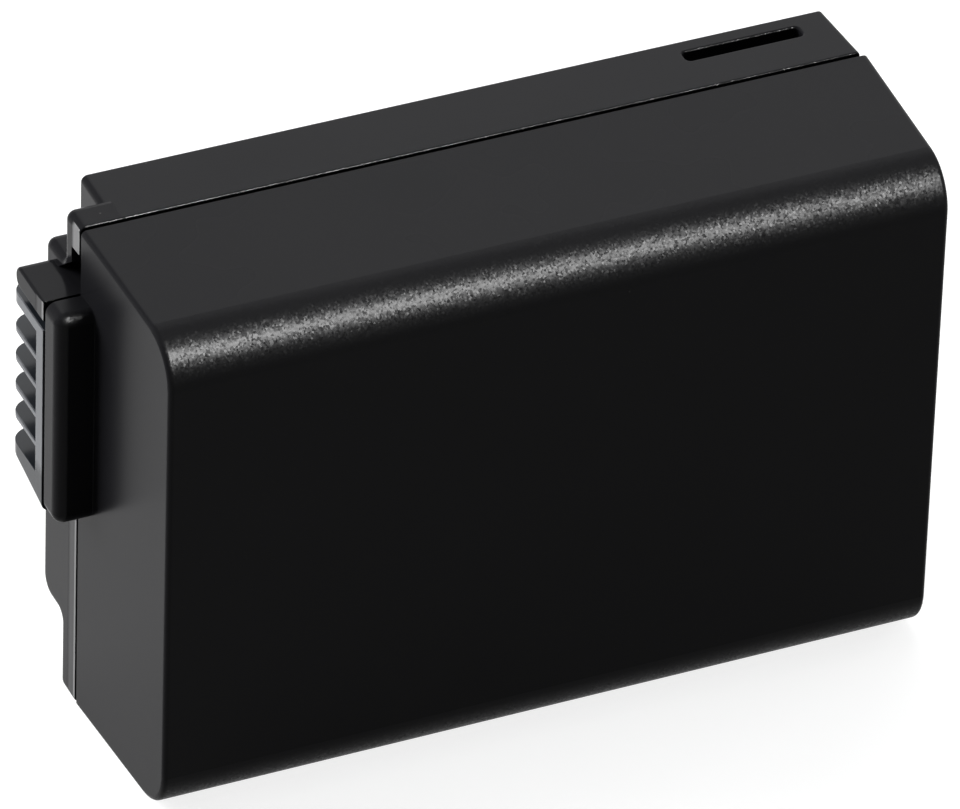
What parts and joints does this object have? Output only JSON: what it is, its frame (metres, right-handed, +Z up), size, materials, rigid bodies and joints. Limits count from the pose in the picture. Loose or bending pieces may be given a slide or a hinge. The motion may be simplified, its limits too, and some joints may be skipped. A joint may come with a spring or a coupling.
{
  "type": "camera battery",
  "caption": "Black slab-shaped rechargeable camera battery: deep front shell, stepped rear cover with key pocket and latch recess, and a finned terminal block on one end.",
  "frame": {"origin": "middle of the bounding box, on the surface that the battery stands on", "axes": "+X along the battery, away from the terminal end; +Y from the broad front face to the rear cover; +Z up, with the battery standing on its long narrow side"},
  "size_m": [0.056, 0.0192, 0.0369],
  "materials": {
    "case_plastic": "black, fine spark-eroded grain",
    "terminal_plastic": "dark grey, smooth",
    "contact_alloy": "gold-plated copper alloy",
    "can_aluminium": "drawn, dull",
    "gasket_plastic": "moulded",
    "nickel_strip": "rolled nickel, spot welded",
    "fibre_sheet": "punched vulcanised fibre",
    "board_laminate": "green solder mask on glass laminate",
    "chip_resin": "moulded epoxy",
    "chip_ceramic": "fired ceramic",
    "cutoff_body": "moulded",
    "tape_film": "double-sided tape",
    "foam": "closed-cell foam"
  },
  "bodies": {
    "root": {"front_shell": "case_plastic", "rear_cover": "case_plastic", "terminal_block": "terminal_plastic", "contact_1": "contact_alloy", "contact_2": "contact_alloy", "contact_3": "contact_alloy", "contact_4": "contact_alloy", "contact_5": "contact_alloy", "cell_front": "can_aluminium", "cell_rear": "can_aluminium", "front_cell_gasket": "gasket_plastic", "rear_cell_gasket": "gasket_plastic", "front_cell_terminal": "nickel_strip", "rear_cell_terminal": "nickel_strip", "lid_insulator": "fibre_sheet", "series_link": "nickel_strip", "positive_tab": "nickel_strip", "negative_tab": "nickel_strip", "thermal_cutoff": "cutoff_body", "circuit_board": "board_laminate", "protection_chip": "chip_resin", "switch_transistors": "chip_resin", "chip_resistors": "chip_ceramic", "chip_capacitors": "chip_ceramic", "thermistor": "chip_ceramic", "cell_tape": "tape_film", "front_pad": "foam", "rear_pad": "foam", "end_cushion": "foam"}
  },
  "joints": []
}
